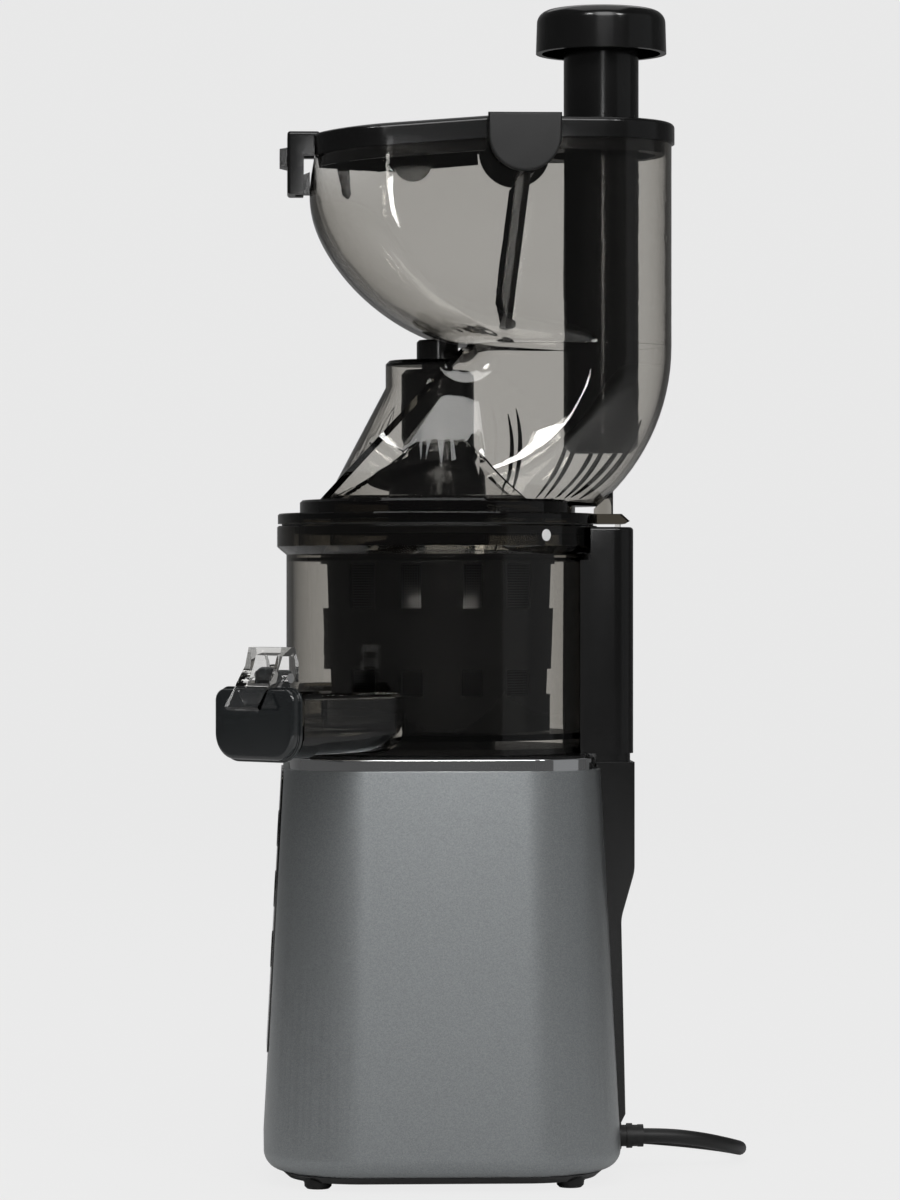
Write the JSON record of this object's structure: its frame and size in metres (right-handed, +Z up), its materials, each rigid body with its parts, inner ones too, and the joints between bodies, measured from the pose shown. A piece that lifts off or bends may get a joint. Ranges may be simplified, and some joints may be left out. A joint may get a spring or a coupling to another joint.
{
  "type": "cold press juicer",
  "caption": "Vertical cold press juicer: square base with a gear motor, clear drum with auger, brush and strainer, lid with a folding hopper, swing flap, chute and pusher.",
  "frame": {"origin": "on the floor under the auger's axis, in the plane of the feet", "axes": "+Z up along the auger's axis, +Y to the rear column, the control panel faces -Y"},
  "size_m": [0.3114, 0.2326, 0.501],
  "materials": {
    "painted_shell": "metallic silver grey, satin",
    "bright_trim": "polished",
    "black_plastic": "fine texture",
    "gloss_black": "glossy",
    "clear_plastic": "clear with a light smoke tint",
    "smoke_plastic": "dark smoke, glossy",
    "dark_resin": "satin",
    "steel": "brushed",
    "rubber": "matt",
    "silicone": "soft, matt",
    "board": "circuit board",
    "windings": "laminated core with varnished windings",
    "nylon_gear": "natural nylon",
    "brass": "bright"
  },
  "bodies": {
    "base": {"housing_shell": "painted_shell", "chrome_ring": "bright_trim", "top_deck": "black_plastic", "base_plate": "black_plastic", "rubber_feet": "rubber", "base_screws": "steel", "rear_spine": "black_plastic", "rear_column": "black_plastic", "interlock_switch": "dark_resin", "front_panel": "gloss_black", "motor_can": "steel", "gear_axle": "steel", "gearbox_case": "dark_resin", "output_bearing": "steel", "control_board": "board", "shaft_seal": "rubber", "strain_relief": "rubber", "cord_lead": "rubber", "cord_coil": "rubber", "plug_body": "rubber", "plug_blades": "brass"},
    "rotor": {"motor_rotor": "windings", "cooling_fan": "dark_resin", "motor_pinion": "steel"},
    "reduction": {"reduction_gear": "nylon_gear"},
    "drive": {"drive_gear": "nylon_gear", "drive_shaft": "steel"},
    "reverse_key": {"reverse_button": "dark_resin"},
    "stop_key": {"stop_button": "dark_resin"},
    "start_key": {"start_button": "dark_resin"},
    "bowl": {"drum": "clear_plastic", "drum_base": "black_plastic", "drum_seal": "silicone", "cap_bracket": "smoke_plastic", "strainer_frame": "dark_resin", "strainer_mesh": "steel"},
    "auger": {"auger_screw": "dark_resin", "auger_shaft": "steel"},
    "idler": {"brush_pinion": "dark_resin"},
    "brush": {"brush_frame": "dark_resin", "brush_wipers": "silicone"},
    "juice_cap": {"cap_door": "smoke_plastic", "cap_seal": "silicone", "cap_lever": "clear_plastic", "cap_pin": "steel"},
    "seal": {"lid_seal": "silicone"},
    "lid": {"drum_lid": "clear_plastic", "tower_bush": "black_plastic", "hopper": "clear_plastic", "chute_cover": "black_plastic", "hinge_cover_left": "black_plastic", "hinge_cover_right": "black_plastic", "hinge_pin": "steel", "latch_bracket": "black_plastic", "latch_spring": "steel"},
    "hopper_door": {"hopper_lid": "black_plastic"},
    "swing_flap": {"flap": "black_plastic"},
    "latch": {"latch_lever": "black_plastic"},
    "pusher": {"pusher_stem": "black_plastic", "pusher_cap": "black_plastic"}
  },
  "joints": [
    {"name": "rotor_spin", "type": "hinge", "parent": "base", "child": "rotor", "pos_m": [0, 0, 0.07], "axis": [0, 0, 1], "continuous": true},
    {"name": "reduction_spin", "type": "hinge", "parent": "base", "child": "reduction", "pos_m": [0, 0.03, 0.112], "axis": [0, 0, 1], "continuous": true},
    {"name": "drive_spin", "type": "hinge", "parent": "base", "child": "drive", "pos_m": [0, 0, 0.15], "axis": [0, 0, 1], "continuous": true},
    {"name": "reverse_press", "type": "slide", "parent": "base", "child": "reverse_key", "axis": [0, 0.9986, -0.0538], "range_m": [0, 0.0012], "stiffness_N_per_m": 800},
    {"name": "stop_press", "type": "slide", "parent": "base", "child": "stop_key", "axis": [0, 0.9986, -0.0538], "range_m": [0, 0.0012], "stiffness_N_per_m": 800},
    {"name": "start_press", "type": "slide", "parent": "base", "child": "start_key", "axis": [0, 0.9986, -0.0538], "range_m": [0, 0.0012], "stiffness_N_per_m": 800},
    {"name": "bowl_lift", "type": "slide", "parent": "base", "child": "bowl", "axis": [0, 0, 1], "range_m": [0, 0.12]},
    {"name": "auger_spin", "type": "hinge", "parent": "bowl", "child": "auger", "pos_m": [0, 0, 0.22], "axis": [0, 0, 1], "continuous": true},
    {"name": "idler_spin", "type": "hinge", "parent": "bowl", "child": "idler", "pos_m": [0, 0.024, 0.194], "axis": [0, 0, 1], "continuous": true},
    {"name": "brush_spin", "type": "hinge", "parent": "bowl", "child": "brush", "pos_m": [0, 0, 0.22], "axis": [0, 0, 1], "continuous": true},
    {"name": "cap_swing", "type": "hinge", "parent": "bowl", "child": "juice_cap", "pos_m": [0.08627, -0.07071, 0.2146], "axis": [-0.7071, -0.7071, 0], "range_deg": [0, 80]},
    {"name": "lid_lift", "type": "slide", "parent": "bowl", "child": "seal", "axis": [0, 0, 1], "range_m": [0, 0.08]},
    {"name": "lid_turn", "type": "hinge", "parent": "seal", "child": "lid", "pos_m": [0, 0, 0.281], "axis": [0, 0, 1], "range_deg": [0, 51]},
    {"name": "hopper_door_swing", "type": "hinge", "parent": "lid", "child": "hopper_door", "pos_m": [0, 0.0355, 0.4437], "axis": [-1, 0, 0], "range_deg": [0, 80]},
    {"name": "flap_swing", "type": "hinge", "parent": "lid", "child": "swing_flap", "pos_m": [0, 0.0375, 0.431], "axis": [1, 0, 0], "range_deg": [-50, 10]},
    {"name": "latch_swing", "type": "hinge", "parent": "lid", "child": "latch", "pos_m": [0, -0.0584, 0.4246], "axis": [1, 0, 0], "range_deg": [0, 18], "stiffness_Nm_per_rad": 0.4},
    {"name": "pusher_lift", "type": "slide", "parent": "lid", "child": "pusher", "axis": [0, 0, 1], "range_m": [0, 0.17]}
  ],
  "couplings": [
    {"joint": "reduction_spin", "follows": "rotor_spin", "ratio": -0.25},
    {"joint": "drive_spin", "follows": "rotor_spin", "ratio": 0.0625},
    {"joint": "auger_spin", "follows": "rotor_spin", "ratio": 0.0625},
    {"joint": "idler_spin", "follows": "rotor_spin", "ratio": -0.10417},
    {"joint": "brush_spin", "follows": "rotor_spin", "ratio": -0.028409}
  ]
}
